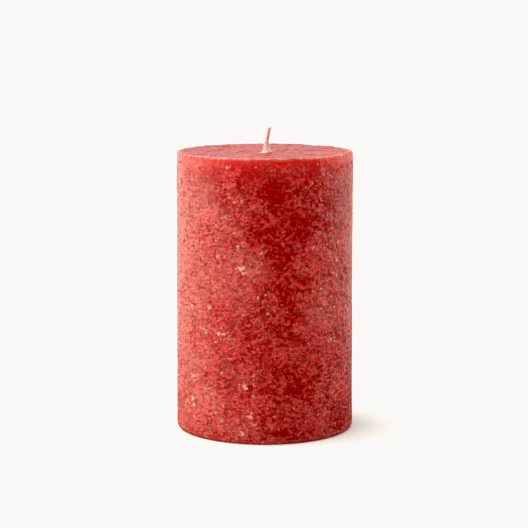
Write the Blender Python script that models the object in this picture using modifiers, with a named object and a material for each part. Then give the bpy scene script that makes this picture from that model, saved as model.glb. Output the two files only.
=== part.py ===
"""A rustic pillar candle, as it comes apart on a bench: the moulded wax pillar, the primed wick that
runs through its bore, the wax seal that closes the bore round the wick's foot, and the tinplate tab
that the wick's lower end is crimped into and that sits in a recess in the pillar's base.

Metres, +Z up. The origin is the centre of the base, where the candle rests.
The wick leans towards +X. Nothing on a candle moves, so there are no joint axes.
"""

import math

import bmesh
import bpy

# --- Driving dimensions ---------------------------------------------------------------------------
# The wax pillar
PILLAR_HEIGHT = 0.110
BASE_DIAMETER = 0.070
MOULD_DRAFT = math.radians(0.2)  # each side leans in towards the top, so that the mould lets go
TOP_EDGE_RADIUS = 0.0008
BASE_EDGE_RADIUS = 0.0015
DISH_DEPTH = 0.0008  # the top face sinks towards the wick, because the wax shrinks as it sets

# The wick
WICK_DIAMETER = 0.0016
WICK_STANDOUT = 0.0092  # its tip above the pillar's top edge
WICK_LEAN = math.radians(11.0)
WICK_BEND_LENGTH = 0.0038  # the height over which it goes from upright to leaning
WICK_BEND_DEPTH = 0.0010  # how far below the bottom of the dish the bend starts

# The wax seal round the wick's foot
SEAL_FOOT_WALL = 0.0010  # the wax round the bore's width, at the face of the dish
SEAL_HEIGHT = 0.0042  # above the bottom of the dish
SEAL_PLUG_DEPTH = 0.0008  # below it, in its seat
SEAL_LIP = 0.0002  # the wall left at its upper end

# The tinplate wick tab
TAB_DIAMETER = 0.0200
TAB_THICKNESS = 0.0003
TAB_NECK_HEIGHT = 0.0060  # above the disc
TAB_NECK_FILLET = 0.0006
TAB_BEAD_HEIGHT = 0.0003
TAB_BEAD_WIDTH = 0.0020
TAB_BEAD_PLACE = 0.65  # of the way from the neck to the rim
TAB_LIFT = 0.0003  # the disc's underside above the surface that the candle stands on

# The gap between pieces that touch on the real candle
GAP = 0.0003

# How finely the round shapes are divided
PILLAR_STEPS = 96
SMALL_STEPS = 36
WICK_BEVEL_RESOLUTION = 4
EDGE_STEPS = 4
DISH_STEPS = 8
FLARE_STEPS = 6
BEAD_STEPS = 8
BEND_STEPS = 6
SMOOTH_ANGLE = math.radians(35.0)
WELD_DISTANCE = 0.00002

# --- Places worked out from them ------------------------------------------------------------------
BASE_RADIUS = BASE_DIAMETER / 2
WICK_RADIUS = WICK_DIAMETER / 2
BORE_RADIUS = WICK_RADIUS + GAP
DISH_BOTTOM_Z = PILLAR_HEIGHT - DISH_DEPTH
WICK_TIP_Z = PILLAR_HEIGHT + WICK_STANDOUT
BEND_START_Z = DISH_BOTTOM_Z - WICK_BEND_DEPTH

SEAL_RADIUS = BORE_RADIUS + SEAL_FOOT_WALL
SEAL_SEAT_RADIUS = SEAL_RADIUS + GAP
SEAL_BOTTOM_Z = DISH_BOTTOM_Z - SEAL_PLUG_DEPTH
SEAL_SEAT_Z = SEAL_BOTTOM_Z - GAP
SEAL_TOP_Z = DISH_BOTTOM_Z + SEAL_HEIGHT

TAB_RADIUS = TAB_DIAMETER / 2
TAB_FACE_Z = TAB_LIFT + TAB_THICKNESS
TAB_NECK_RADIUS = BORE_RADIUS + TAB_THICKNESS
TAB_NECK_Z = TAB_FACE_Z + TAB_NECK_HEIGHT
RECESS_RADIUS = TAB_RADIUS + GAP
RECESS_Z = TAB_FACE_Z + TAB_BEAD_HEIGHT + GAP
COUNTERBORE_RADIUS = TAB_NECK_RADIUS + TAB_NECK_FILLET + GAP
COUNTERBORE_Z = TAB_NECK_Z + GAP


def side_radius(z):
    """The pillar's radius at a height, from the base up its drafted side."""
    return BASE_RADIUS - z * math.tan(MOULD_DRAFT)


def dish_z(radius):
    """The height of the top face at a distance from the axis."""
    share = radius / side_radius(PILLAR_HEIGHT)
    return DISH_BOTTOM_Z + DISH_DEPTH * share**2


def wick_offset(z):
    """How far the wick's centre line has moved along +X at a height: upright, then a bend, then straight."""
    slope = math.tan(WICK_LEAN)
    rise = z - BEND_START_Z
    if rise <= 0:
        return 0.0
    if rise < WICK_BEND_LENGTH:
        return slope * rise**2 / (2 * WICK_BEND_LENGTH)
    return slope * (rise - WICK_BEND_LENGTH / 2)


def arc(centre_x, centre_z, radius, start, end, steps):
    """Points on an arc in the profile plane. Angles are in degrees, 0 along +X and 90 along +Z."""
    angles = [math.radians(start + (end - start) * i / steps) for i in range(steps + 1)]
    return [(centre_x + radius * math.cos(a), centre_z + radius * math.sin(a)) for a in angles]


# --- Scene helpers --------------------------------------------------------------------------------
def clear_scene():
    for obj in list(bpy.data.objects):
        bpy.data.objects.remove(obj, do_unlink=True)


def new_collection(name):
    collection = bpy.data.collections.new(name)
    bpy.context.scene.collection.children.link(collection)
    return collection


def plain_material(name, colour, roughness, metallic=0.0):
    material = bpy.data.materials.new(name)
    material.use_nodes = True
    shader = material.node_tree.nodes["Principled BSDF"]
    shader.inputs["Base Color"].default_value = (*colour, 1.0)
    shader.inputs["Roughness"].default_value = roughness
    shader.inputs["Metallic"].default_value = metallic
    return material


def solid_mesh(obj):
    """The object's mesh with its modifiers or its bevel made real, its seams welded and its round faces smooth."""
    graph = bpy.context.evaluated_depsgraph_get()
    mesh = bpy.data.meshes.new_from_object(obj.evaluated_get(graph))
    shape = bmesh.new()
    shape.from_mesh(mesh)
    bmesh.ops.remove_doubles(shape, verts=shape.verts, dist=WELD_DISTANCE)
    shape.to_mesh(mesh)
    shape.free()
    mesh.shade_smooth()
    mesh.set_sharp_from_angle(angle=SMOOTH_ANGLE)
    return mesh


def finished(name, rough, material, collection):
    """Swaps a working object for one that holds its finished mesh."""
    rough.name = name + "_working"
    bpy.context.view_layer.update()
    obj = bpy.data.objects.new(name, solid_mesh(rough))
    obj.matrix_world = rough.matrix_world
    obj.data.name = name
    obj.data.materials.clear()
    obj.data.materials.append(material)
    collection.objects.link(obj)
    bpy.data.objects.remove(rough, do_unlink=True)
    return obj


def turned(profile, closed, steps, collection):
    """A profile in the XZ plane, turned once about Z. It runs down its outer side, from top to bottom."""
    mesh = bpy.data.meshes.new("profile")
    points = [(x, 0.0, z) for x, z in profile]
    edges = [(i, i + 1) for i in range(len(points) - 1)]
    if closed:
        edges.append((len(points) - 1, 0))
    mesh.from_pydata(points, edges, [])
    obj = bpy.data.objects.new("profile", mesh)
    collection.objects.link(obj)
    screw = obj.modifiers.new("turn", "SCREW")
    screw.axis = "Z"
    screw.angle = 2 * math.pi
    screw.steps = steps
    screw.render_steps = steps
    screw.use_merge_vertices = True
    screw.merge_threshold = WELD_DISTANCE
    return obj


# --- The pieces -----------------------------------------------------------------------------------
def wax_pillar(material, collection):
    """The moulded pillar: drafted side, rounded edges, dished top with the seal's seat, a bore for the wick
    that widens for the tab's neck, and the recess in the base that the tab's disc sits in."""
    top_radius = side_radius(PILLAR_HEIGHT)
    foot_radius = side_radius(BASE_EDGE_RADIUS)
    profile = arc(
        top_radius - TOP_EDGE_RADIUS, PILLAR_HEIGHT - TOP_EDGE_RADIUS, TOP_EDGE_RADIUS, 90, 0, EDGE_STEPS
    )
    profile += arc(foot_radius - BASE_EDGE_RADIUS, BASE_EDGE_RADIUS, BASE_EDGE_RADIUS, 0, -90, EDGE_STEPS)
    profile += [
        (RECESS_RADIUS, 0.0),
        (RECESS_RADIUS, RECESS_Z),
        (COUNTERBORE_RADIUS, RECESS_Z),
        (COUNTERBORE_RADIUS, COUNTERBORE_Z),
        (BORE_RADIUS, COUNTERBORE_Z),
        (BORE_RADIUS, SEAL_SEAT_Z),
        (SEAL_SEAT_RADIUS, SEAL_SEAT_Z),
    ]
    dish_width = top_radius - TOP_EDGE_RADIUS - SEAL_SEAT_RADIUS
    for i in range(DISH_STEPS):
        radius = SEAL_SEAT_RADIUS + dish_width * i / DISH_STEPS
        profile.append((radius, dish_z(radius)))
    rough = turned(profile, True, PILLAR_STEPS, collection)
    return finished("wax_pillar", rough, material, collection)


def wick(material, collection):
    """The primed cotton cord, from the tab's underside to its leaning tip."""
    bend_end_z = BEND_START_Z + WICK_BEND_LENGTH
    heights = [TAB_LIFT]
    heights += [BEND_START_Z + WICK_BEND_LENGTH * i / BEND_STEPS for i in range(BEND_STEPS)]
    heights += [bend_end_z, WICK_TIP_Z]

    curve = bpy.data.curves.new("wick_line", "CURVE")
    curve.dimensions = "3D"
    curve.bevel_depth = WICK_RADIUS
    curve.bevel_resolution = WICK_BEVEL_RESOLUTION
    curve.use_fill_caps = True
    spline = curve.splines.new("POLY")
    spline.points.add(len(heights) - 1)
    for point, z in zip(spline.points, heights):
        point.co = (wick_offset(z), 0.0, z, 1.0)
    rough = bpy.data.objects.new("wick_line", curve)
    collection.objects.link(rough)
    return finished("wick", rough, material, collection)


def wick_seal(material, collection):
    """The wax that climbs the wick's foot: a plug in its seat, and above it a flare that thins out up the
    wick. It is turned upright and then sheared, so that it leans with the wick inside it."""
    lip_radius = BORE_RADIUS + SEAL_LIP
    profile = []
    for i in range(FLARE_STEPS + 1):
        share = i / FLARE_STEPS  # from the lip down to the face of the dish
        radius = lip_radius + (SEAL_RADIUS - lip_radius) * share**2
        profile.append((radius, SEAL_TOP_Z - SEAL_HEIGHT * share))
    profile += [
        (SEAL_RADIUS, SEAL_BOTTOM_Z),
        (BORE_RADIUS, SEAL_BOTTOM_Z),
    ]
    # The hole has the flare's own heights, so that it bends where the wick does.
    profile += [(BORE_RADIUS, z) for _, z in reversed(profile[: FLARE_STEPS + 1])]
    rough = turned(profile, True, SMALL_STEPS, collection)
    seal = finished("wick_seal", rough, material, collection)
    for vertex in seal.data.vertices:
        vertex.co.x += wick_offset(vertex.co.z)
    return seal


def wick_tab(material, collection):
    """The pressed tinplate tab: a neck round the wick's lower end, a fillet, and a disc with a stiffening bead.
    The profile is the upper skin, and the sheet's thickness goes under it."""
    fillet_end = TAB_NECK_RADIUS + TAB_NECK_FILLET
    profile = [(TAB_NECK_RADIUS, TAB_NECK_Z)]
    profile += arc(fillet_end, TAB_FACE_Z + TAB_NECK_FILLET, TAB_NECK_FILLET, 180, 270, EDGE_STEPS)
    bead_middle = fillet_end + (TAB_RADIUS - fillet_end) * TAB_BEAD_PLACE
    for i in range(BEAD_STEPS + 1):
        share = i / BEAD_STEPS
        rise = TAB_BEAD_HEIGHT * (1 - math.cos(2 * math.pi * share)) / 2
        profile.append((bead_middle + TAB_BEAD_WIDTH * (share - 0.5), TAB_FACE_Z + rise))
    profile.append((TAB_RADIUS, TAB_FACE_Z))
    rough = turned(profile, False, SMALL_STEPS, collection)
    sheet = rough.modifiers.new("sheet", "SOLIDIFY")
    sheet.thickness = TAB_THICKNESS
    sheet.offset = -1.0
    sheet.use_even_offset = True
    return finished("wick_tab", rough, material, collection)


def build():
    clear_scene()
    candle = new_collection("pillar_candle")
    wax = plain_material("dyed_wax", (0.42, 0.012, 0.014), 0.5)
    cotton = plain_material("waxed_cotton", (0.74, 0.36, 0.32), 0.7)
    tinplate = plain_material("tinplate", (0.66, 0.65, 0.62), 0.35, metallic=1.0)
    wax_pillar(wax, candle)
    wick(cotton, candle)
    wick_seal(wax, candle)
    wick_tab(tinplate, candle)


build()
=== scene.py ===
# %% [markdown]
# # A rustic pillar candle
# A moulded block of red wax, a braided wick, the flare of wax at the wick's foot, and a small tin tab
# under the base. The plain model of these four pieces comes first, and everything below dresses it:
# each piece gets its fine surface as real geometry, and then a material that varies over it.

# %% The plain model
import math

import bpy
import numpy as np
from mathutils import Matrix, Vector, noise


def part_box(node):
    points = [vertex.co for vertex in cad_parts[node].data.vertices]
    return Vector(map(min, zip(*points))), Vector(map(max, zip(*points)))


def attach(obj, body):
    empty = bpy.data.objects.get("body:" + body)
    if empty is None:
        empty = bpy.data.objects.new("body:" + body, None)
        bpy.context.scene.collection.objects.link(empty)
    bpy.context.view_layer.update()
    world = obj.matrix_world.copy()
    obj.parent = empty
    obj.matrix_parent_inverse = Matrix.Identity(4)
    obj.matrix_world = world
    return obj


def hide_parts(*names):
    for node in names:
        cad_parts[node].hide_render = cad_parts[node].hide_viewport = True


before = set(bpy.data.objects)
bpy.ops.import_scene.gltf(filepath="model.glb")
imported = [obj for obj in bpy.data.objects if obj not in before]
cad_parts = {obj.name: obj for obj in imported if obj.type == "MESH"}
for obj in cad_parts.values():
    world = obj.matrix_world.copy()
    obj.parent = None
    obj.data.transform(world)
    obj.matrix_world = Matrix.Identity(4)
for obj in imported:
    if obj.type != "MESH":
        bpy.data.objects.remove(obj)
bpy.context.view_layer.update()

MM = 0.001
FULL_TURN = 2 * math.pi
print("pieces in the plain model:", ", ".join(sorted(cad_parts)))

# %% [markdown]
# ## Sizes
# Nothing is measured by eye here. The plain model knows how tall and wide each piece is, so the sizes
# are read from its boxes. Only what a box can't tell, such as how far the wick leans, is written out.

# %% Sizes read from the plain model
pillar_low, pillar_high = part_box("wax_pillar")
tab_low, tab_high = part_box("wick_tab")
wick_low, wick_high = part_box("wick")
seal_low, seal_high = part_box("wick_seal")

candle_height = pillar_high.z
base_radius = pillar_high.x
wick_radius = wick_high.y
tab_radius = tab_high.x
FIT_GAP = 0.3 * MM
bore_radius = wick_radius + FIT_GAP
print(f"candle {2000 * base_radius:.1f} mm across and {1000 * candle_height:.1f} mm tall")

# %% [markdown]
# ## Noise
# Wax sets unevenly, and the marks that this leaves are random but smooth. Blender's noise functions
# give a value for any point in space, so a pattern made with them runs round the candle without a
# seam, and it comes out the same each time the file is run.


# %% Noise helpers
def smooth_step(low, high, value):
    """0 below low, 1 above high, and an easy curve between them."""
    share = np.clip((value - low) / (high - low), 0, 1)
    return share * share * (3 - 2 * share)


def noise_at(points, size, octaves=1, stretch=(1, 1, 1)):
    """Noise from about -1 to 1 at each point. Its bumps are about size across, times stretch."""
    scaled = points / (np.array(stretch) * size)
    return np.array([noise.fractal(Vector(p), 1.0, 2.0, octaves) for p in scaled])


def bent(points, size, amount):
    """The points moved about by smooth noise, so that what is drawn on them turns wavy."""
    push = np.array([noise.noise_vector(Vector(p)) for p in points / size])
    return points + push * amount


def hair_lines(points, size, width):
    """1 on thin wandering lines about size apart, falling to 0 beside them."""
    return np.exp(-((noise_at(points, size) / width) ** 2))


def holes(points, spacing, share, radius):
    """Round hollows, 1 in the middle of each. They sit in only some cells of a grid of loose points."""
    depth = []
    for point in points / spacing:
        distances, centres = noise.voronoi(Vector(point))
        kept = noise.cell(centres[0] * 17.0) > 1 - 2 * share
        depth.append(math.exp(-((distances[0] * spacing / radius) ** 2)) if kept else 0.0)
    return np.array(depth)


# %% [markdown]
# ## Turned meshes
# All four pieces are round, so each starts as a ring of points swept round the axis. A Screw modifier
# could do that, but the fine surface needs rows of an even size and a way to thin the columns out
# near the axis, where they would crowd together. So the rings are laid out by a function: a profile
# gives one ring for each of its points, and a ring may have half as many columns as its neighbour.


# %% Turned mesh helpers
def arc(centre, radius, start, end, steps):
    """Profile points on an arc, with angles in degrees from +X towards +Z. The last point is left out."""
    angles = [math.radians(start + (end - start) * i / steps) for i in range(steps)]
    return [(centre[0] + radius * math.cos(a), centre[1] + radius * math.sin(a)) for a in angles]


def straight(start, end, spacing):
    """Profile points along a line, evenly and about spacing apart. The last point is left out."""
    steps = max(1, round(math.dist(start, end) / spacing))
    return [
        (start[0] + (end[0] - start[0]) * i / steps, start[1] + (end[1] - start[1]) * i / steps)
        for i in range(steps)
    ]


def profile_normals(profile, closed):
    """The outward direction at each profile point, for a profile that runs out, down and back in."""
    points = np.array(profile)
    if closed:
        along = np.roll(points, -1, axis=0) - np.roll(points, 1, axis=0)
    else:
        along = np.gradient(points, axis=0)
    along /= np.maximum(np.linalg.norm(along, axis=1, keepdims=True), 1e-12)
    return np.stack([-along[:, 1], along[:, 0]], axis=1)


def stitch(first, second, start_first, start_second):
    """Faces between two neighbouring rings of first and second columns."""
    faces = []
    if first == second:
        for j in range(first):
            k = (j + 1) % first
            faces.append((start_first + j, start_second + j, start_second + k, start_first + k))
        return faces
    few = min(first, second)
    for j in range(few):
        k = (j + 1) % few
        left, middle, right = 2 * j, 2 * j + 1, (2 * j + 2) % (2 * few)
        if first < second:
            a, b = start_first, start_second
            faces += [(a + j, b + left, b + middle), (a + j, b + middle, a + k), (a + k, b + middle, b + right)]
        else:
            a, b = start_first, start_second
            faces += [(a + left, b + j, a + middle), (b + j, b + k, a + middle), (b + k, a + right, a + middle)]
    return faces


def turned(profile, columns, closed):
    """Points, outward directions, ring numbers and faces of a profile turned about the axis."""
    normals = profile_normals(profile, closed)
    places, directions, ring_of, starts = [], [], [], []
    for ring, ((radius, z), (out, up), count) in enumerate(zip(profile, normals, columns)):
        starts.append(len(ring_of))
        turn = np.arange(count) * FULL_TURN / count
        cosine, sine = np.cos(turn), np.sin(turn)
        places.append(np.stack([radius * cosine, radius * sine, np.full(count, z)], axis=1))
        directions.append(np.stack([out * cosine, out * sine, np.full(count, up)], axis=1))
        ring_of += [ring] * count
    faces = []
    for ring in range(len(profile) if closed else len(profile) - 1):
        after = (ring + 1) % len(profile)
        faces += stitch(columns[ring], columns[after], starts[ring], starts[after])
    return np.concatenate(places), np.concatenate(directions), np.array(ring_of), faces


def new_piece(name, points, faces, values=None):
    """A smooth-shaded object, with a named value per point for its material to read."""
    mesh = bpy.data.meshes.new(name)
    mesh.from_pydata(points.tolist(), [], faces)
    for label, value in (values or {}).items():
        layer = mesh.attributes.new(label, "FLOAT", "POINT")
        layer.data.foreach_set("value", np.asarray(value, np.float32))
    mesh.shade_smooth()
    piece = bpy.data.objects.new(name, mesh)
    bpy.context.scene.collection.objects.link(piece)
    print(f"{name}: {len(mesh.vertices)} points, {len(mesh.polygons)} faces")
    return piece


# %% [markdown]
# ## The wax body
# The candle is cast in a metal mould with a slight taper, so that it drops out. A rustic candle is
# poured too cool on purpose: the first wax to touch the mould sets in flakes and waves, with small
# holes and seams between them. The profile runs from the bore out over the top, down the side, and
# back under the base, into the recess for the tab and up the bore.

# %% The profile of the wax body
MOULD_DRAFT = math.radians(0.2)
TOP_EDGE_RADIUS = 0.8 * MM
BASE_EDGE_RADIUS = 1.5 * MM
DISH_DEPTH = 0.8 * MM
SEAL_PLUG_DEPTH = 0.8 * MM
TAB_SHEET = 0.3 * MM
TAB_BEAD_HEIGHT = 0.3 * MM
TAB_NECK_FILLET = 0.6 * MM

ROW_SPACING = 0.42 * MM
TOP_SPACING = 0.7 * MM
BASE_SPACING = 2.2 * MM
FULL_COLUMNS = 320

top_radius = base_radius - candle_height * math.tan(MOULD_DRAFT)
dish_z = candle_height - DISH_DEPTH
seat_radius = seal_high.y + FIT_GAP
seat_z = dish_z - SEAL_PLUG_DEPTH - FIT_GAP
recess_radius = tab_radius + FIT_GAP
recess_z = tab_low.z + TAB_SHEET + TAB_BEAD_HEIGHT + FIT_GAP
neck_hole_radius = bore_radius + TAB_SHEET + TAB_NECK_FILLET + FIT_GAP
neck_hole_z = tab_high.z + FIT_GAP


def top_face():
    """The dished top, from the seal's seat to where the edge starts to round over."""
    end = top_radius - TOP_EDGE_RADIUS
    steps = round((end - seat_radius) / TOP_SPACING)
    radii = [seat_radius + (end - seat_radius) * i / steps for i in range(steps)]
    return [(r, dish_z + DISH_DEPTH * (r / top_radius) ** 2) for r in radii]


def wax_sections():
    """The wax body's profile in named stretches, in order."""
    foot_radius = base_radius - BASE_EDGE_RADIUS * math.tan(MOULD_DRAFT)
    top_corner = (top_radius - TOP_EDGE_RADIUS, candle_height - TOP_EDGE_RADIUS)
    foot_corner = (foot_radius - BASE_EDGE_RADIUS, BASE_EDGE_RADIUS)
    return [
        ("top", top_face()),
        ("rim", arc(top_corner, TOP_EDGE_RADIUS, 90, 0, 4)),
        ("side", straight((top_radius, top_corner[1]), (foot_radius, foot_corner[1]), ROW_SPACING)),
        ("foot", arc(foot_corner, BASE_EDGE_RADIUS, 0, -90, 5)),
        ("base", straight((foot_corner[0], 0.0), (recess_radius, 0.0), BASE_SPACING)),
        ("recess", [(recess_radius, 0.0), (recess_radius, recess_z), (neck_hole_radius, recess_z)]),
        ("bore", [(neck_hole_radius, neck_hole_z), (bore_radius, neck_hole_z), (bore_radius, seat_z)]),
        ("seat", [(seat_radius, seat_z)]),
    ]


def columns_for(radius):
    """Fewer columns near the axis, by halves, so that the faces keep their width."""
    count = FULL_COLUMNS
    while count > FULL_COLUMNS // 8 and radius < base_radius * count / FULL_COLUMNS / 2:
        count //= 2
    return count


def step_columns(profile):
    """Columns for each ring, changing by no more than half from one ring to the next."""
    columns = [columns_for(radius) for radius, _ in profile]
    for order in (range(1, len(columns)), range(len(columns) - 2, -1, -1)):
        for i in order:
            before = columns[i - 1] if order.step > 0 else columns[i + 1]
            columns[i] = min(columns[i], 2 * before)
    return columns


sections = wax_sections()
wax_profile = [point for _, stretch in sections for point in stretch]
wax_zone = [name for name, stretch in sections for _ in stretch]
wax_columns = step_columns(wax_profile)
wax_points, wax_out, wax_ring, wax_faces = turned(wax_profile, wax_columns, closed=True)
zone_of_point = np.array(wax_zone)[wax_ring]
print(len(wax_profile), "rings,", len(wax_points), "points")

# %% [markdown]
# ## The crackled surface
# Looked at closely the side has four kinds of mark, and each is its own noise pattern. There are
# wandering raised seams where flakes of wax met, a pebbly grain between them, waves that lie level
# because they are the tide marks of the pour, and small round holes left by air. The marks come in
# patches a finger's width across, and they fade out near the top and the foot, where the wax stayed
# hot for longer. The top face was open to the air, so it only sank and wrinkled.

# %% Relief of the side
SIDE_TOP_BAND = (0.8 * MM, 4.5 * MM)  # below the top edge, over which the marks set in
SIDE_FOOT_BAND = (0.2 * MM, 2.0 * MM)  # above the base, the same

on_side = wax_points[zone_of_point == "side"]
from_top = candle_height - on_side[:, 2]
marked = smooth_step(*SIDE_TOP_BAND, from_top) * smooth_step(*SIDE_FOOT_BAND, on_side[:, 2])

# Soft-edged places on the side: degrees round from the front, height, reach round and reach up in
# millimetres, and how much. Frost is thick at 1 and thin at -1. The sheen-and-bloom places are a pale
# pink layer, mostly a painted sheen of the soft light on the left side and partly a pale bloom.
FROST_AND_SHEEN_PLACES = (
    (-18, 66, 12, 20, 0.9),
    (42, 52, 10, 15, 0.7),
    (-20, 14, 15, 8, 0.6),
    (3, 102, 13, 9, -1.0),
    (12, 80, 6, 18, -0.9),
    (10, 26, 7, 14, -0.5),
    (-54, 86, 13, 22, -0.5),
    # the wide place on the left is partly frost and partly a painted sheen of the soft light
    (-62, 50, 17, 50, 1.0),
)
SHEEN_AND_BLOOM_PLACES = (
    (-64, 60, 20, 100, 1.2),
    (-115, 80, 24, 40, 0.9),
    (-140, 30, 26, 30, 0.7),
    (-18, 66, 10, 18, 0.6),
    (42, 52, 10, 15, 0.6),
    (-20, 14, 15, 8, 0.5),
)


def soft_places(places):
    """The places added up, at each point of the side. Noise bends their edges."""
    turn = np.degrees(np.arctan2(on_side[:, 0], -on_side[:, 1]))
    bend = 0.45 * noise_at(on_side + 0.9, 10 * MM, 3)
    total = np.zeros(len(on_side))
    for degrees, height, reach_round, reach_up, amount in places:
        apart = (turn - degrees + 180) % 360 - 180
        off_round = np.radians(apart) * base_radius / (reach_round * MM) + bend
        off_up = (on_side[:, 2] - height * MM) / (reach_up * MM)
        total += amount * np.exp(-(off_round**2) - off_up**2)
    return total


crackle_patch = smooth_step(-0.55, 0.45, 0.8 * noise_at(on_side, 15 * MM, 3) + 0.8 * soft_places(FROST_AND_SHEEN_PLACES))
wave_patch = smooth_step(0.02, 0.35, noise_at(on_side + 0.2, 17 * MM, 2, stretch=(1, 1, 0.7)))
wandering = bent(on_side, 2.6 * MM, 1.3 * MM)
seams = np.maximum(
    hair_lines(wandering, 2.6 * MM, 0.17),
    hair_lines(wandering + 0.1, 3.4 * MM, 0.14),
)
pebbles = noise_at(wandering, 1.5 * MM, 2, stretch=(1.2, 1.2, 0.9))
wave_height = on_side[:, 2] + 2.2 * MM * noise_at(on_side + 0.3, 8 * MM, 2)
waves = np.sin(FULL_TURN * wave_height / (1.75 * MM))
hole_place = bent(on_side, 0.9 * MM, 0.35 * MM) * (0.75, 0.75, 1.0)
air_holes = np.maximum(
    holes(hole_place, 2.6 * MM, 0.40, 0.55 * MM),
    holes(hole_place + 0.4, 4.6 * MM, 0.40, 0.80 * MM),
)
side_relief = MM * (
    0.10 * noise_at(on_side, 26 * MM, 2)
    + marked * 0.11 * seams * (0.35 + 0.65 * crackle_patch)
    + marked * 0.13 * pebbles * (0.30 + 0.70 * crackle_patch)
    + marked * 0.11 * waves * wave_patch
    - (0.25 + 0.75 * marked) * 0.30 * air_holes
)
print(f"side relief from {1000 * side_relief.min():.2f} to {1000 * side_relief.max():.2f} mm")

# %% [markdown]
# The top edge is where the wax pulled away from the mould. It has a thin raised lip, a little uneven,
# and it chips easily, so a few small nicks are cut into it. Their places come from a seeded draw.

# %% Relief of the top face and its edge
LIP_WIDTH = 1.5 * MM
LIP_HEIGHT = 0.16 * MM
NICK_COUNT = 13
chance = np.random.default_rng(11)

on_top = wax_points[zone_of_point == "top"]
top_distance = np.hypot(on_top[:, 0], on_top[:, 1])
clear_of_wick = smooth_step(seat_radius, seat_radius + 3.0 * MM, top_distance)
to_edge = top_radius - top_distance
top_wrinkles = noise_at(bent(on_top, 6 * MM, 3 * MM), 4.2 * MM, 2)
top_relief = MM * clear_of_wick * (0.22 * noise_at(on_top, 9 * MM, 2) + 0.24 * top_wrinkles)
top_relief += LIP_HEIGHT * np.exp(-(((to_edge - 0.9 * MM) / LIP_WIDTH) ** 2))

nicks = [
    {
        "turn": turn,
        "width": chance.uniform(0.35, 0.9) * MM,
        "reach": chance.uniform(0.7, 2.6) * MM,
        "depth": chance.uniform(0.20, 0.55) * MM,
    }
    for turn in chance.uniform(0, FULL_TURN, NICK_COUNT)
]


def nick_depth(points):
    """How deep the nicks cut at each point."""
    turn = np.arctan2(points[:, 1], points[:, 0])
    below = np.abs(candle_height - points[:, 2])
    depth = np.zeros(len(points))
    for nick in nicks:
        apart = (turn - nick["turn"] + math.pi) % FULL_TURN - math.pi
        shape = np.exp(-((apart * top_radius / nick["width"]) ** 2) - (below / nick["reach"]) ** 2)
        depth = np.maximum(depth, nick["depth"] * shape)
    return depth


print(len(nicks), "nicks in the top edge")

# %% All the relief, point by point
edge_zones = np.isin(zone_of_point, ("top", "rim", "side"))
outer_top = np.hypot(wax_points[:, 0], wax_points[:, 1]) > top_radius - 2.0 * MM
nickable = edge_zones & outer_top & (wax_points[:, 2] > candle_height - 6 * MM)

relief = np.zeros(len(wax_points))
relief[zone_of_point == "side"] = side_relief
relief[zone_of_point == "top"] = top_relief
on_rim = wax_points[zone_of_point == "rim"]
relief[zone_of_point == "rim"] = LIP_HEIGHT * 0.6 + 0.07 * MM * noise_at(on_rim, 1.6 * MM, 2)
on_foot = wax_points[zone_of_point == "foot"]
foot_free = smooth_step(0, BASE_EDGE_RADIUS, on_foot[:, 2])
relief[zone_of_point == "foot"] = foot_free * (
    0.10 * MM * noise_at(on_foot, 26 * MM, 2) + 0.16 * MM * noise_at(on_foot, 1.6 * MM, 2)
)
relief[nickable] -= nick_depth(wax_points[nickable])
wax_surface = wax_points + wax_out * relief[:, None]

# %% Values that the wax material reads
seam_value = np.zeros(len(wax_points))
hole_value = np.zeros(len(wax_points))
patch_value = np.zeros(len(wax_points))
wave_value = np.zeros(len(wax_points))
rim_wear_and_highlight_value = np.zeros(len(wax_points))
lit_value = np.zeros(len(wax_points))
sheen_and_bloom_value = np.zeros(len(wax_points))
side_mask = zone_of_point == "side"
seam_value[side_mask] = marked * seams
hole_value[side_mask] = (0.25 + 0.75 * marked) * air_holes
patch_value[side_mask] = marked * crackle_patch
# Painted light: the side is brighter red just under the top edge, as if light came in through the top. The rim
# gets half of it.
lit_value[side_mask] = np.exp(-from_top / (4.0 * MM))
lit_value[zone_of_point == "rim"] = 0.5
# Painted sheen: a pale pink layer where the soft light on the left would reflect, partly a pale bloom. The foot
# gets half of it.
sheen_and_bloom_noise = 0.5 * noise_at(on_side + 0.6, 12 * MM, 3)
sheen_and_bloom_value[side_mask] = smooth_step(0.2, 1.1, soft_places(SHEEN_AND_BLOOM_PLACES) + sheen_and_bloom_noise)
sheen_and_bloom_value[zone_of_point == "foot"] = 0.5
wave_value[side_mask] = marked * wave_patch * (0.5 + 0.5 * waves)
patch_value[zone_of_point == "top"] = 0.42 + 1.1 * top_wrinkles
patch_value[zone_of_point == "foot"] = 0.6
# The pale line along the top edge: partly wear, partly a painted highlight where the rounded edge catches light.
rim_wear_and_highlight_value[edge_zones] = np.exp(
    -((np.abs(candle_height - wax_points[edge_zones, 2]) / (0.60 * MM)) ** 2)
    - (np.maximum(top_radius - np.hypot(*wax_points[edge_zones, :2].T) - 0.4 * MM, 0) / (1.5 * MM)) ** 2
)
rim_wear_and_highlight_value[edge_zones] *= np.clip(0.7 + 1.2 * noise_at(wax_points[edge_zones], 2.4 * MM, 3), 0, 1)

wax_body = new_piece(
    "wax_body",
    wax_surface,
    wax_faces,
    {
        "seam": seam_value,
        "hole": hole_value,
        "patch": np.clip(patch_value, 0, 1),
        "wave": wave_value,
        "edge": rim_wear_and_highlight_value,
        "lit": lit_value,
        "sheen_and_bloom": sheen_and_bloom_value,
        "marked": np.isin(zone_of_point, ("side", "foot")),
    },
)
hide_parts("wax_pillar")
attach(wax_body, "root")

# %% [markdown]
# ## The wick
# A pillar candle's wick is plaited cotton, dipped in wax so that it stands up. The plait is real
# relief here: eight yarns, four turning each way, and at every crossing one of them lies on top. The
# wick goes straight up the bore and leans over above it. Only what stands out needs fine rows.

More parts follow.
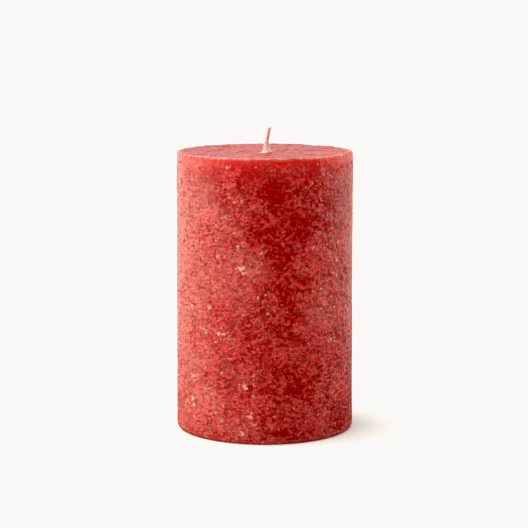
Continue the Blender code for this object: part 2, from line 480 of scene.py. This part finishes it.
# %% The wick's line
WICK_LEAN = math.radians(11.0)
WICK_BEND_LENGTH = 3.8 * MM
WICK_BEND_DEPTH = 1.0 * MM
bend_start = dish_z - WICK_BEND_DEPTH


def wick_offset(z):
    """How far the wick's centre line has moved along +X at a height."""
    rise = z - bend_start
    if rise <= 0:
        return 0.0
    if rise < WICK_BEND_LENGTH:
        return math.tan(WICK_LEAN) * rise**2 / (2 * WICK_BEND_LENGTH)
    return math.tan(WICK_LEAN) * (rise - WICK_BEND_LENGTH / 2)


print(f"the wick's tip is {1000 * wick_offset(wick_high.z):.1f} mm to the side")

# %% The plaited wick
YARNS_EACH_WAY = 4
PLAIT_PITCH = 1.5 * MM
PLAIT_RELIEF = 0.14 * MM
WICK_COLUMNS = 48
WICK_ROW = 0.1 * MM
WAXED_LENGTH = 5.0 * MM  # above the dish, over which wax fills the plait


def plait(turn, along):
    """The height of a plait from 0 to 1: rounded yarns that go over and under each other."""
    a = turn * YARNS_EACH_WAY / FULL_TURN + along / PLAIT_PITCH
    b = turn * YARNS_EACH_WAY / FULL_TURN - along / PLAIT_PITCH
    across_a, across_b = 2 * (a % 1) - 1, 2 * (b % 1) - 1
    a_on_top = (np.floor(a) + np.floor(b)) % 2 == 0
    across = np.where(a_on_top, across_a, across_b)
    lengthways = np.where(a_on_top, across_b, across_a)
    return np.sqrt(np.maximum(1 - across**2, 0)) * (1 - 0.3 * lengthways**2)


def wick_profile():
    """A ring every few millimetres in the bore, then fine rows to the tip, which is cut off bluntly."""
    low, high = wick_low.z, wick_high.z
    end = high - 0.25 * MM
    heights = [low + 0.01 * MM, low + 0.2 * MM, low + 30 * MM, low + 60 * MM, low + 90 * MM]
    heights += list(np.linspace(bend_start - MM, end, round((end - bend_start + MM) / WICK_ROW)))
    profile = [(0.15 * wick_radius, high), (0.55 * wick_radius, high - 0.02 * MM)]
    profile += [(0.86 * wick_radius, high - 0.10 * MM)]
    profile += [(wick_radius, z) for z in reversed(heights)]
    return profile + [(0.3 * wick_radius, low)]


wick_rings = wick_profile()
wick_points, wick_out, wick_ring, wick_faces = turned(wick_rings, [WICK_COLUMNS] * len(wick_rings), closed=False)
wick_turn = np.arctan2(wick_points[:, 1], wick_points[:, 0]) % FULL_TURN
plait_height = plait(wick_turn, wick_points[:, 2])
bare = smooth_step(dish_z + 1.5 * MM, dish_z + WAXED_LENGTH + 2 * MM, wick_points[:, 2])
fuzz = noise_at(wick_points, 0.45 * MM, 2)
shaved = PLAIT_RELIEF * (0.35 + 0.65 * bare) * (0.55 - plait_height) + 0.03 * MM * fuzz
swell = 1 + 0.02 * noise_at(wick_points * (0, 0, 1), 2.5 * MM)
wick_points[:, :2] *= swell[:, None]
wick_points -= wick_out * shaved[:, None] * (wick_points[:, 2] > bend_start)[:, None]
wick_points[:, 0] += [wick_offset(z) for z in wick_points[:, 2]]
tip_ring, foot_ring = list(range(WICK_COLUMNS)), list(range(len(wick_points) - WICK_COLUMNS, len(wick_points)))
wick_faces += [tuple(tip_ring), tuple(reversed(foot_ring))]

wick_piece = new_piece("plaited_wick", wick_points, wick_faces, {"plait": plait_height, "bare": bare})
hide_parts("wick")
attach(wick_piece, "root")

# %% [markdown]
# ## The flare at the wick's foot
# When the mould's pin is pulled out, a drop of hot wax closes the hole. It climbs the wick as it sets
# and leaves a smooth hollow-sided cone. Its lower edge feathers out on the top face, so the cone is
# turned a little wider than its plug, and it is leaned over with the wick.

# %% The flare
FLARE_COLUMNS = 64
FLARE_STEPS = 26
FEATHER = 0.9 * MM  # how far the flare's edge runs out past its seat
FLARE_SINK = 0.12 * MM
FLARE_DRIFT = 1.1 * MM  # the drop ran down more on the side the wick leans to

flare_top = seal_high.z + 0.6 * MM
flare_foot = seal_high.y + FEATHER
plug_radius = seal_high.y
plug_z = dish_z - SEAL_PLUG_DEPTH


def flare_profile():
    """From the lip on the wick down the hollow side to the feathered edge, then under to the plug."""
    lip = wick_radius + 0.06 * MM
    profile = []
    for i in range(FLARE_STEPS + 1):
        share = i / FLARE_STEPS
        radius = lip + (flare_foot - lip) * (0.36 * share + 0.24 * share**3 + 0.40 * share**9)
        z = flare_top + (dish_z - FLARE_SINK - flare_top) * (1 - (1 - share) ** 1.15)
        profile.append((radius, z))
    profile += [(plug_radius, dish_z - FLARE_SINK - 0.05 * MM), (plug_radius, plug_z)]
    profile += [(wick_radius - 0.05 * MM, plug_z), (wick_radius - 0.05 * MM, flare_top - 0.1 * MM)]
    return profile


flare_rings = flare_profile()
flare_columns = [FLARE_COLUMNS] * len(flare_rings)
flare_points, flare_out, flare_ring, flare_faces = turned(flare_rings, flare_columns, closed=True)
outside = flare_ring <= FLARE_STEPS
flare_sag = 0.10 * MM * noise_at(flare_points, 1.6 * MM, 2) * outside
flare_points += flare_out * flare_sag[:, None]
flare_climb = np.clip((flare_points[:, 2] - dish_z) / (flare_top - dish_z), 0, 1)
flare_points[:, 0] += [wick_offset(z) for z in flare_points[:, 2]]
flare_points[:, 0] += FLARE_DRIFT * outside * smooth_step(0, 0.12, flare_climb) * (1 - flare_climb)

flare = new_piece("wick_flare", flare_points, flare_faces, {"climb": flare_climb})
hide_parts("wick_seal")
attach(flare, "root")

# %% [markdown]
# ## The tin tab
# Under the candle a stamped disc of tinplate holds the wick's end. Its neck is pinched in four places
# to grip the cotton, and a rolled bead keeps the thin disc flat. The sheet is one thickness all over,
# so its profile is the upper skin and then the same line back again underneath.

# %% The tab
TAB_COLUMNS = 96
TAB_BEAD_WIDTH = 2.0 * MM
TAB_BEAD_PLACE = 0.65
PINCHES = 4
PINCH_DEPTH = 0.16 * MM

neck_radius = bore_radius + TAB_SHEET
tab_face_z = tab_low.z + TAB_SHEET
fillet_end = neck_radius + TAB_NECK_FILLET
bead_middle = fillet_end + (tab_radius - fillet_end) * TAB_BEAD_PLACE


def bead_rise(radius):
    """The rolled bead: one smooth hump across the disc."""
    share = (radius - bead_middle) / TAB_BEAD_WIDTH
    return TAB_BEAD_HEIGHT * (1 + math.cos(FULL_TURN * share)) / 2 if abs(share) < 0.5 else 0.0


def disc(start, end, z, spacing):
    """Profile points across the disc, over the bead."""
    return [(r, z + bead_rise(r)) for r, _ in straight((start, 0), (end, 0), spacing)]


def tab_profile():
    """Down the outside of the neck, out over the disc, round its edge and back underneath."""
    neck_centre = (fillet_end, tab_face_z + TAB_NECK_FILLET)
    fillet = arc(neck_centre, TAB_NECK_FILLET, 180, 270, 5)
    inner_fillet = arc(neck_centre, TAB_NECK_FILLET + TAB_SHEET, 270, 180, 5)
    profile = [(neck_radius - 0.08 * MM, tab_high.z)]
    profile += straight((neck_radius, tab_high.z - 0.08 * MM), (neck_radius, neck_centre[1]), 0.4 * MM)
    profile += fillet + disc(fillet_end, tab_radius - 0.1 * MM, tab_face_z, 0.25 * MM)
    profile += arc((tab_radius - TAB_SHEET / 2, tab_low.z + TAB_SHEET / 2), TAB_SHEET / 2, 90, -90, 6)
    profile += disc(tab_radius - 0.1 * MM, fillet_end, tab_low.z, 0.25 * MM)
    profile += inner_fillet
    profile += straight((bore_radius, neck_centre[1]), (bore_radius, tab_high.z), 0.4 * MM)
    return profile


tab_rings = tab_profile()
tab_points, tab_out, tab_ring, tab_faces = turned(tab_rings, [TAB_COLUMNS] * len(tab_rings), closed=True)
tab_turn = np.arctan2(tab_points[:, 1], tab_points[:, 0])
pinch_height = np.exp(-(((tab_points[:, 2] - tab_face_z - 0.65 * tab_high.z) / (1.1 * MM)) ** 2))
pinch = PINCH_DEPTH * np.maximum(np.cos(PINCHES * tab_turn), 0) ** 3 * pinch_height
tab_distance = np.maximum(np.hypot(tab_points[:, 0], tab_points[:, 1]), 1e-6)
on_neck = tab_distance < fillet_end - 0.3 * MM
tab_points[:, :2] *= (1 - pinch * on_neck / tab_distance)[:, None]

tin_tab = new_piece("tin_tab", tab_points, tab_faces)
tin_tab.data.set_sharp_from_angle(angle=math.radians(50))
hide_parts("wick_tab")
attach(tin_tab, "root")

# %% [markdown]
# ## Shader building blocks
# A material is a small graph of nodes. These helpers add a node, set its values and link it in one
# call, so that each material below reads as a list of steps.


# %% Node helpers
def add(tree, kind, settings=None, **sockets):
    """Adds a node. Settings are its own options; sockets are values or links for its inputs."""
    node = tree.nodes.new(kind)
    for name, value in (settings or {}).items():
        setattr(node, name, value)
    for name, value in sockets.items():
        plug(tree, node, name.replace("_", " "), value)
    return node


def plug(tree, node, socket, value):
    """Links an output to an input, or sets the input's own value."""
    target = node.inputs[socket]
    if isinstance(value, bpy.types.NodeSocket):
        tree.links.new(value, target)
    else:
        target.default_value = value


def calc(tree, operation, first, second=0.0, third=0.0):
    """One step of arithmetic."""
    node = tree.nodes.new("ShaderNodeMath")
    node.operation = operation
    for i, value in enumerate((first, second, third)):
        if isinstance(value, bpy.types.NodeSocket):
            tree.links.new(value, node.inputs[i])
        else:
            node.inputs[i].default_value = value
    return node.outputs[0]


def vector_calc(tree, operation, first, second):
    """One step of arithmetic on a vector."""
    node = tree.nodes.new("ShaderNodeVectorMath")
    node.operation = operation
    target = "Scale" if operation == "SCALE" else 1
    for i, value in ((0, first), (target, second)):
        if isinstance(value, bpy.types.NodeSocket):
            tree.links.new(value, node.inputs[i])
        else:
            node.inputs[i].default_value = value
    return node.outputs[0]


def ease(tree, value, low, high, start=0.0, end=1.0):
    """Turns a value between low and high into one between start and end, with an easy curve."""
    node = add(tree, "ShaderNodeMapRange", {"interpolation_type": "SMOOTHSTEP"})
    tree.links.new(value, node.inputs["Value"])
    for name, number in zip(("From Min", "From Max", "To Min", "To Max"), (low, high, start, end)):
        plug(tree, node, name, number)
    return node.outputs["Result"]


def blend_colours(tree, share, first, second):
    """The first colour where share is 0 and the second where it is 1."""
    node = add(tree, "ShaderNodeMix", {"data_type": "RGBA"})
    for i, value in ((0, share), (6, first), (7, second)):
        if isinstance(value, bpy.types.NodeSocket):
            tree.links.new(value, node.inputs[i])
        else:
            node.inputs[i].default_value = value
    return node.outputs[2]


def new_group(name, inputs, outputs):
    """An empty node group with named sockets, and its two end nodes."""
    group = bpy.data.node_groups.new(name, "ShaderNodeTree")
    kinds = {"value": "NodeSocketFloat", "vector": "NodeSocketVector", "colour": "NodeSocketColor"}
    for label, kind, value in inputs:
        socket = group.interface.new_socket(label, in_out="INPUT", socket_type=kinds[kind])
        if value is not None:
            socket.default_value = value
    for label, kind in outputs:
        group.interface.new_socket(label, in_out="OUTPUT", socket_type=kinds[kind])
    return group, group.nodes.new("NodeGroupInput"), group.nodes.new("NodeGroupOutput")


def place(tree, group, **sockets):
    """Puts a group into a material with its own values."""
    return add(tree, "ShaderNodeGroup", {"node_tree": group}, **sockets)


def attribute(tree, name):
    """A value stored on the mesh."""
    return add(tree, "ShaderNodeAttribute", {"attribute_name": name}).outputs["Fac"]


def new_material(name):
    """A material with its Principled shader, and the piece's own coordinates in metres."""
    material = bpy.data.materials.new(name)
    material.use_nodes = True
    tree = material.node_tree
    shader = tree.nodes["Principled BSDF"]
    where = tree.nodes.new("ShaderNodeTexCoord").outputs["Object"]
    return material, tree, shader, where


# %% [markdown]
# ## Effects that several materials share
# Grain is the fine unevenness that every real surface has, and it goes into all of them at different
# sizes. Frost is particular to wax: where wax cools fast it sets as tiny crystals that scatter light,
# so it looks pale and dull beside the clear, deep-coloured wax. Both are node groups, built once.


# %% The grain group
def grain_group():
    group, start, end = new_group(
        "grain",
        [("Place", "vector", None), ("Size", "value", 0.001), ("Roughness", "value", 0.6)],
        [("Height", "value"), ("Mask", "value")],
    )
    scale = calc(group, "DIVIDE", 1.0, start.outputs["Size"])
    scaled = vector_calc(group, "SCALE", start.outputs["Place"], scale)
    pattern = add(group, "ShaderNodeTexNoise", Vector=scaled, Scale=1.0, Detail=3.0)
    plug(group, pattern, "Roughness", start.outputs["Roughness"])
    plug(group, end, "Height", pattern.outputs["Fac"])
    plug(group, end, "Mask", ease(group, pattern.outputs["Fac"], 0.38, 0.62))
    return group


grain = grain_group()


# %% The frost group
def frost_group():
    """Crumbly pale flakes, a thin pale web, small dark pits, and a height for them, all wandering alike."""
    group, start, end = new_group(
        "frost",
        [
            ("Place", "vector", None),
            ("Size", "value", 0.0014),
            ("Stretch", "vector", (1.0, 1.0, 1.2)),
            ("Wander", "value", 0.5),
            ("Cover", "value", 0.5),
        ],
        [("Flakes", "value"), ("Web", "value"), ("Pits", "value"), ("Height", "value")],
    )
    scale = calc(group, "DIVIDE", 1.0, start.outputs["Size"])
    scaled = vector_calc(group, "SCALE", start.outputs["Place"], scale)
    shaped = vector_calc(group, "MULTIPLY", scaled, start.outputs["Stretch"])
    bend = add(group, "ShaderNodeTexNoise", Vector=shaped, Scale=0.7, Detail=1.0)
    centred = vector_calc(group, "SUBTRACT", bend.outputs["Color"], (0.5, 0.5, 0.5))
    push = vector_calc(group, "SCALE", centred, calc(group, "MULTIPLY", start.outputs["Wander"], 3.0))
    wavy = vector_calc(group, "ADD", shaped, push)
    cells = add(group, "ShaderNodeTexNoise", Vector=wavy, Scale=1.0, Detail=3.0, Roughness=0.62)
    cover = calc(group, "MULTIPLY_ADD", start.outputs["Cover"], 0.22, -0.11)
    flake_value = calc(group, "ADD", cells.outputs["Fac"], cover)
    flakes = ease(group, flake_value, 0.45, 0.57)
    walls = add(group, "ShaderNodeTexVoronoi", {"feature": "DISTANCE_TO_EDGE"}, Vector=wavy, Scale=0.8)
    web = ease(group, walls.outputs["Distance"], 0.05, 0.20, 1.0, 0.0)
    broken = ease(group, calc(group, "ADD", bend.outputs["Fac"], cover), 0.46, 0.58)
    web = calc(group, "MULTIPLY", web, broken)
    shifted = vector_calc(group, "ADD", wavy, (31.0, 17.0, 53.0))
    dents = add(group, "ShaderNodeTexNoise", Vector=shifted, Scale=1.2, Detail=1.0, Roughness=0.5)
    pits = ease(group, dents.outputs["Fac"], 0.34, 0.41, 1.0, 0.0)
    plug(group, end, "Flakes", flakes)
    plug(group, end, "Web", web)
    plug(group, end, "Pits", pits)
    raised = calc(group, "MULTIPLY_ADD", web, 0.25, cells.outputs["Fac"])
    plug(group, end, "Height", calc(group, "MULTIPLY_ADD", pits, -0.35, raised))
    return group


frost = frost_group()

# %% [markdown]
# ## Wax
# Dyed paraffin is translucent: light goes in, loses everything but red, and comes out a few
# millimetres away. That is subsurface scattering, and it softens the whole body. Over it lies the
# frost, which is pale, rough and opaque. The seams, waves and holes that were made as geometry are
# read back from the mesh here, so that the colour changes exactly where the shape does.

# %% The body's wax
DEEP_RED = (0.265, 0.0004, 0.0008, 1.0)
FROSTED_RED = (0.57, 0.031, 0.028, 1.0)
# pits and air holes: clear wax, partly a painted shade where a hollow misses the sheen
PIT_SHADE_RED = (0.36, 0.0004, 0.0008, 1.0)  # thin wax in a hollow lets a little more light through
CRACK_RED = (0.27, 0.0010, 0.0012, 1.0)
# painted light: a brighter band under the top edge
LIT_RED = (0.84, 0.022, 0.018, 1.0)  # just under the top edge, where light comes through
# painted sheen, partly a pale bloom: the pale pink laid over the lit left side
SHEEN_PINK = (0.63, 0.175, 0.145, 1.0)
SCUFFED_PINK = (0.80, 0.28, 0.22, 1.0)
BARE_PINK = (0.90, 0.52, 0.44, 1.0)
SCATTER_DISTANCE = (1.0 * MM, 0.25 * MM, 0.2 * MM)
WAX_IOR = 1.43


def wax_shader(shader):
    """What is the same all over any piece of this wax."""
    shader.inputs["IOR"].default_value = WAX_IOR
    shader.inputs["Subsurface Weight"].default_value = 0.3
    shader.inputs["Subsurface Radius"].default_value = SCATTER_DISTANCE
    shader.inputs["Subsurface Scale"].default_value = 1.0


def body_wax():
    material, tree, shader, where = new_material("dyed_wax")
    wax_shader(shader)
    seam, hole = attribute(tree, "seam"), attribute(tree, "hole")
    patch, wave = attribute(tree, "patch"), attribute(tree, "wave")
    edge, marked_side = attribute(tree, "edge"), attribute(tree, "marked")
    lit, sheen_and_bloom = attribute(tree, "lit"), attribute(tree, "sheen_and_bloom")

    # How much of the wax is frosted, and how busy its marks are: both change over a finger's width.
    wide = place(tree, grain, Place=where, Size=8 * MM, Roughness=0.6)
    cover = calc(tree, "MULTIPLY_ADD", wide.outputs["Height"], 1.3, calc(tree, "MULTIPLY_ADD", patch, 0.42, -0.43))
    busy = ease(tree, calc(tree, "MULTIPLY_ADD", patch, 0.22, wide.outputs["Height"]), 0.46, 0.74, 0.2, 1.0)
    fine = place(tree, frost, Place=where, Size=2.0 * MM, Wander=0.25, Cover=cover)
    coarse = place(tree, frost, Place=where, Size=4.2 * MM, Stretch=(0.8, 0.8, 1.5), Wander=0.35, Cover=cover)
    dust = place(tree, grain, Place=where, Size=1.0 * MM, Roughness=0.6)
    specks = place(tree, grain, Place=where, Size=1.5 * MM, Roughness=0.5)

    flakes = calc(tree, "MULTIPLY", fine.outputs["Flakes"], 0.50)
    flakes = calc(tree, "MULTIPLY_ADD", coarse.outputs["Flakes"], 0.20, flakes)
    lines = calc(tree, "MAXIMUM", fine.outputs["Web"], coarse.outputs["Web"])
    flakes = calc(tree, "MULTIPLY_ADD", lines, 0.28, flakes)
    flakes = calc(tree, "MULTIPLY_ADD", calc(tree, "MAXIMUM", seam, wave), 0.20, flakes)
    speckle = calc(tree, "MULTIPLY", calc(tree, "SUBTRACT", dust.outputs["Height"], 0.5), 2.1)
    frosted = ease(tree, calc(tree, "ADD", flakes, speckle), 0.14, 0.92)
    pits = calc(tree, "MULTIPLY", fine.outputs["Pits"], busy)
    pits = calc(tree, "MAXIMUM", pits, ease(tree, hole, 0.25, 0.85))

    # Scuffs: pale blobs, small specks and broken lines where it is busy, and the thin pale edge at the top,
    # which is partly wear and partly a painted highlight.
    blobs = place(tree, grain, Place=where, Size=3.2 * MM, Roughness=0.7)
    blob = calc(tree, "MULTIPLY_ADD", patch, 0.08, calc(tree, "MULTIPLY", blobs.outputs["Height"], marked_side))
    blob = ease(tree, blob, 0.68, 0.80, 0.0, 0.8)
    crack = calc(tree, "MULTIPLY", coarse.outputs["Web"], ease(tree, blobs.outputs["Height"], 0.50, 0.60))
    crack = calc(tree, "MULTIPLY", crack, marked_side)
    flaked_line = calc(tree, "MULTIPLY", lines, ease(tree, dust.outputs["Height"], 0.45, 0.62))
    fleck = calc(tree, "MAXIMUM", calc(tree, "MULTIPLY", flaked_line, 0.22), ease(tree, specks.outputs["Height"], 0.60, 0.72, 0.0, 0.6))
    fleck = calc(tree, "MULTIPLY", fleck, calc(tree, "MULTIPLY", busy, calc(tree, "MULTIPLY_ADD", marked_side, 0.7, 0.3)))
    worn_and_highlit_edge = calc(tree, "MULTIPLY", edge, ease(tree, specks.outputs["Height"], 0.35, 0.60, 0.35, 1.0))
    fleck = calc(tree, "MAXIMUM", fleck, worn_and_highlit_edge)

    colour = blend_colours(tree, frosted, DEEP_RED, FROSTED_RED)
    # Painted light under the top edge.
    colour = blend_colours(tree, calc(tree, "MULTIPLY", lit, 0.85), colour, LIT_RED)
    # Painted sheen, partly a pale bloom, over the lit left side.
    colour = blend_colours(tree, calc(tree, "MULTIPLY", sheen_and_bloom, 0.40), colour, SHEEN_PINK)
    # Pits and air holes: partly clear wax, partly painted shade.
    colour = blend_colours(tree, calc(tree, "MULTIPLY", pits, 0.9), colour, PIT_SHADE_RED)
    colour = blend_colours(tree, fleck, colour, SCUFFED_PINK)
    colour = blend_colours(tree, calc(tree, "MULTIPLY", crack, 0.75), colour, CRACK_RED)
    colour = blend_colours(tree, blob, colour, BARE_PINK)
    plug(tree, shader, "Base Color", colour)

    rough = calc(tree, "MULTIPLY_ADD", frosted, 0.08, calc(tree, "MULTIPLY_ADD", marked_side, -0.12, 0.40))
    plug(tree, shader, "Roughness", calc(tree, "MULTIPLY_ADD", pits, 0.50, rough))

    height = calc(tree, "MULTIPLY_ADD", coarse.outputs["Height"], 1.2, fine.outputs["Height"])
    height = calc(tree, "MULTIPLY_ADD", dust.outputs["Height"], 0.5, height)
    height = calc(tree, "MULTIPLY", height, calc(tree, "MULTIPLY_ADD", busy, 0.75, 0.2))
    height = calc(tree, "MULTIPLY_ADD", crack, -0.6, height)
    bump = add(tree, "ShaderNodeBump", Strength=1.0, Distance=0.42 * MM, Height=height)
    plug(tree, shader, "Normal", bump.outputs["Normal"])
    return material


wax_body.data.materials.append(body_wax())


# %% [markdown]
# The flare is the same wax poured thin and hot, so it is smooth, and it looks paler because the white
# cotton shows through it more and more towards its lip.


# %% The flare's wax
def flare_wax():
    material, tree, shader, where = new_material("seal_wax")
    wax_shader(shader)
    climb = attribute(tree, "climb")
    fine = place(tree, frost, Place=where, Size=0.9 * MM)
    pale = ease(tree, climb, 0.0, 0.10)
    clouded = blend_colours(tree, fine.outputs["Flakes"], (0.88, 0.46, 0.41, 1.0), (0.93, 0.60, 0.54, 1.0))
    colour = blend_colours(tree, pale, FROSTED_RED, clouded)
    plug(tree, shader, "Base Color", colour)
    plug(tree, shader, "Roughness", ease(tree, fine.outputs["Flakes"], 0.0, 1.0, 0.35, 0.55))
    bump = add(tree, "ShaderNodeBump", Strength=0.3, Distance=0.05 * MM, Height=fine.outputs["Height"])
    plug(tree, shader, "Normal", bump.outputs["Normal"])
    return material


flare.data.materials.append(flare_wax())

# %% [markdown]
# ## Cotton and tin
# The cotton was dipped in the red wax, so it is white with a pink stain that is strongest in the
# grooves of the plait and near the candle. The tab is tinplate: bright metal with fine scratches from
# the press and a little haze from handling.


# %% The wick's cotton
def waxed_cotton():
    material, tree, shader, where = new_material("waxed_cotton")
    shader.inputs["Subsurface Weight"].default_value = 0.25
    shader.inputs["Subsurface Radius"].default_value = (0.6 * MM, 0.3 * MM, 0.25 * MM)
    shader.inputs["Subsurface Scale"].default_value = 1.0
    on_yarn, uncovered = attribute(tree, "plait"), attribute(tree, "bare")
    fibres = place(tree, grain, Place=where, Size=0.25 * MM, Roughness=0.7)
    stain = calc(tree, "SUBTRACT", 1.0, calc(tree, "MULTIPLY", on_yarn, 0.6))
    stain = calc(tree, "MULTIPLY_ADD", fibres.outputs["Height"], 0.4, stain)
    stain = calc(tree, "SUBTRACT", stain, calc(tree, "MULTIPLY", uncovered, 0.25))
    colour = blend_colours(tree, ease(tree, stain, 0.2, 1.1), (0.93, 0.66, 0.62, 1.0), (0.84, 0.42, 0.39, 1.0))
    plug(tree, shader, "Base Color", colour)
    plug(tree, shader, "Roughness", ease(tree, fibres.outputs["Height"], 0.3, 0.7, 0.55, 0.8))
    bump = add(tree, "ShaderNodeBump", Strength=0.6, Distance=0.03 * MM, Height=fibres.outputs["Height"])
    plug(tree, shader, "Normal", bump.outputs["Normal"])
    return material


wick_piece.data.materials.append(waxed_cotton())


# %% The tab's tinplate
def tinplate():
    material, tree, shader, where = new_material("tinplate")
    shader.inputs["Metallic"].default_value = 1.0
    smudges = place(tree, grain, Place=where, Size=5 * MM, Roughness=0.6)
    scratched = vector_calc(tree, "MULTIPLY", where, (1.0, 14.0, 1.0))
    scratches = place(tree, grain, Place=scratched, Size=1.6 * MM, Roughness=0.8)
    share = calc(tree, "MULTIPLY_ADD", smudges.outputs["Mask"], 0.6, calc(tree, "MULTIPLY", scratches.outputs["Height"], 0.4))
    colour = blend_colours(tree, share, (0.74, 0.73, 0.70, 1.0), (0.58, 0.56, 0.53, 1.0))
    plug(tree, shader, "Base Color", colour)
    plug(tree, shader, "Roughness", ease(tree, share, 0.1, 0.9, 0.22, 0.48))
    bump = add(tree, "ShaderNodeBump", Strength=0.25, Distance=0.02 * MM, Height=scratches.outputs["Height"])
    plug(tree, shader, "Normal", bump.outputs["Normal"])
    return material


tin_tab.data.materials.append(tinplate())

# %% [markdown]
# ## The stage
# The candle stands on a matt white table in a white studio. The table is a disc that fades out before
# its edge, so it runs into the backdrop with no line. A large soft light stands to the left and a
# little in front, and a weaker one to the right and behind, which leaves the front of the candle
# in its own deep colour between two soft sheens.

# %% The table
TABLE_RADIUS = 1.6
TABLE_FADE = (0.45, 1.5)
GLOSS_DARK = (0.02, 0.02, 0.02, 1.0)  # what the sheen on the wax picks up of the table in front
GLOSS_PALE = (0.80, 0.77, 0.70, 1.0)  # and behind


def table_material():
    material, tree, shader, where = new_material("matt_table")
    tooth = place(tree, grain, Place=where, Size=3 * MM, Roughness=0.6)
    tint = ease(tree, tooth.outputs["Height"], 0.3, 0.7, 0.0, 1.0)
    pale = blend_colours(tree, tint, (0.865, 0.90, 0.925, 1.0), (0.875, 0.91, 0.935, 1.0))
    front_to_back = add(tree, "ShaderNodeSeparateXYZ", Vector=where).outputs["Y"]
    mirrored = blend_colours(tree, ease(tree, front_to_back, 0.0, 0.25), GLOSS_DARK, GLOSS_PALE)
    in_gloss = tree.nodes.new("ShaderNodeLightPath").outputs["Is Glossy Ray"]
    plug(tree, shader, "Base Color", blend_colours(tree, in_gloss, pale, mirrored))
    plug(tree, shader, "Roughness", 0.9)
    plug(tree, shader, "Specular IOR Level", 0.1)
    distance = add(tree, "ShaderNodeVectorMath", {"operation": "LENGTH"})
    tree.links.new(where, distance.inputs[0])
    plug(tree, shader, "Alpha", ease(tree, distance.outputs["Value"], *TABLE_FADE, 1.0, 0.0))
    return material


bpy.ops.mesh.primitive_circle_add(vertices=96, radius=TABLE_RADIUS, fill_type="NGON")
table = bpy.context.object
table.name = "table"
table.data.materials.append(table_material())

# %% The studio
BACKDROP_STRENGTH = 1.4
DOME_LIGHT = (1.0, 0.99, 0.95)
WARM_LIGHT = (1.0, 0.97, 0.87)

world = bpy.data.worlds.new("studio")
world.use_nodes = True
bpy.context.scene.world = world
sky = world.node_tree
sky_light = sky.nodes["Background"]
sky_light.inputs["Color"].default_value = (*DOME_LIGHT, 1.0)
direction = sky.nodes.new("ShaderNodeTexCoord").outputs["Generated"]
parts = add(sky, "ShaderNodeSeparateXYZ", Vector=direction)
sideways = ease(sky, parts.outputs["X"], -0.8, 0.8, 1.2, 0.6)
behind = calc(sky, "MULTIPLY", ease(sky, parts.outputs["Y"], -0.35, 0.75), sideways)
above = ease(sky, parts.outputs["Z"], 0.2, 0.9)
glow = calc(sky, "MULTIPLY_ADD", above, 0.85, calc(sky, "MULTIPLY_ADD", behind, 0.9, 0.0))
far_behind = calc(sky, "MULTIPLY", ease(sky, parts.outputs["Y"], 0.0, 0.8), sideways)
path = sky.nodes.new("ShaderNodeLightPath")


def either(tree, share, first, second):
    """The first number where share is 0 and the second where it is 1."""
    node = add(tree, "ShaderNodeMix", {"data_type": "FLOAT"})
    for i, value in ((0, share), (2, first), (3, second)):
        if isinstance(value, bpy.types.NodeSocket):
            tree.links.new(value, node.inputs[i])
        else:
            node.inputs[i].default_value = value
    return node.outputs[0]


strength = either(sky, path.outputs["Is Glossy Ray"], glow, calc(sky, "MULTIPLY", far_behind, 1.7))
strength = either(sky, path.outputs["Is Camera Ray"], strength, BACKDROP_STRENGTH)
plug(sky, sky_light, "Strength", strength)


def soft_light(name, azimuth, elevation, distance, width, height, power, colour):
    """A rectangular light aimed at the middle of the candle. Azimuth 0 is in front, and 90 is to the right."""
    lamp = bpy.data.lights.new(name, "AREA")
    lamp.shape = "RECTANGLE"
    lamp.size, lamp.size_y = width, height
    lamp.energy = power
    lamp.color = colour
    turn, rise = math.radians(azimuth), math.radians(elevation)
    way = Vector((math.sin(turn) * math.cos(rise), -math.cos(turn) * math.cos(rise), math.sin(rise)))
    light = bpy.data.objects.new(name, lamp)
    light.location = Vector((0, 0, candle_height / 2)) + way * distance
    light.rotation_mode = "QUATERNION"
    light.rotation_quaternion = way.to_track_quat("Z", "Y")
    light.visible_camera = False
    bpy.context.scene.collection.objects.link(light)
    return light


soft_light("key_softbox", -82, 42, 1.1, 2.2, 2.1, 35.5, WARM_LIGHT)
soft_light("fill_softbox", 105, 20, 1.3, 0.8, 1.0, 8, WARM_LIGHT)

# %% [markdown]
# ## The camera
# A long lens from a fair distance, a little above the candle and tipped down, keeps the sides nearly
# upright and shows a thin slice of the top.

# %% The camera
CAMERA_DISTANCE = 0.7193
CAMERA_HEIGHT = 0.1743
CAMERA_TIP = math.radians(8.64)
CAMERA_ASIDE = -0.3 * MM

lens = bpy.data.cameras.new("camera")
lens.lens = 124.97
lens.sensor_width = 36.0
lens.clip_start, lens.clip_end = 0.05, 50.0
camera = bpy.data.objects.new("camera", lens)
camera.location = (CAMERA_ASIDE, -CAMERA_DISTANCE, CAMERA_HEIGHT)
camera.rotation_euler = (math.pi / 2 - CAMERA_TIP, 0, 0)
bpy.context.scene.collection.objects.link(camera)
bpy.context.scene.camera = camera

# %% [markdown]
# White studio pictures are exposed so that the paper is just past white. The view's curve does the
# same: whatever is brighter than 1 becomes one even warm white, and all below it keeps its tone.

# %% The exposure
PAPER_WHITE = (0.947, 0.939, 0.921)
DEEPEST = 0.012  # what the print shows as black

view = bpy.context.scene.view_settings
view.view_transform = "Standard"
view.use_curve_mapping = True
view.curve_mapping.extend = "HORIZONTAL"
view.curve_mapping.black_level = (DEEPEST, DEEPEST, DEEPEST)
for curve, white in zip(view.curve_mapping.curves, PAPER_WHITE):
    curve.points[-1].location = (1.0, white)
view.curve_mapping.update()
